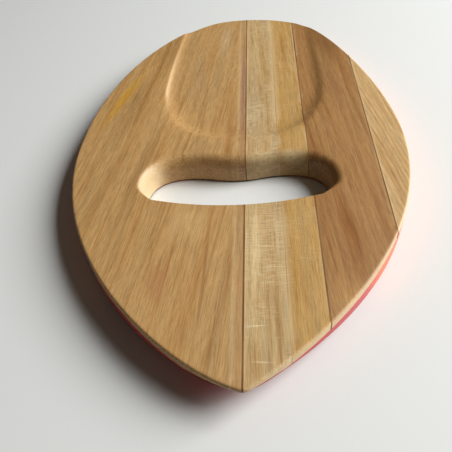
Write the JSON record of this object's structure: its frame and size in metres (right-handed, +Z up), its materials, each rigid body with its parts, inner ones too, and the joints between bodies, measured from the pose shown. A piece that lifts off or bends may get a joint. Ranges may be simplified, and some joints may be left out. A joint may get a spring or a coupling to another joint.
{
  "type": "bodysurfing handplane",
  "caption": "Small strapless hand-held planing board of edge-glued wood staves, with a finger slot, an open palm scoop, a pointed nose and a painted underside.",
  "frame": {"origin": "on the resting plane, under the middle of the board's length and width", "axes": "+X to the right rail, +Y from the nose to the tail, +Z up out of the deck"},
  "size_m": [0.2, 0.332, 0.018],
  "materials": {
    "tan_wood": "oiled satin tan hardwood with slanting open grain",
    "plum_wood": "oiled satin pinkish brown wood, a narrow strip",
    "straw_wood": "oiled satin pale straw wood with faint cross flecks",
    "golden_wood": "oiled satin golden wood",
    "brown_wood": "oiled satin reddish brown wood with fine straight grain",
    "rail_wood": "oiled satin light wood with close straight grain",
    "red_paint": "brushed-on satin gloss marine enamel, red that fades to orange toward the middle"
  },
  "bodies": {
    "root": {"left_board": "tan_wood", "centre_strip_nose": "plum_wood", "centre_strip_tail": "plum_wood", "pale_stave_nose": "straw_wood", "pale_stave_tail": "straw_wood", "yellow_stave_nose": "golden_wood", "yellow_stave_tail": "golden_wood", "brown_board": "brown_wood", "right_edge_stave": "rail_wood", "bottom_paint": "red_paint"}
  },
  "joints": []
}
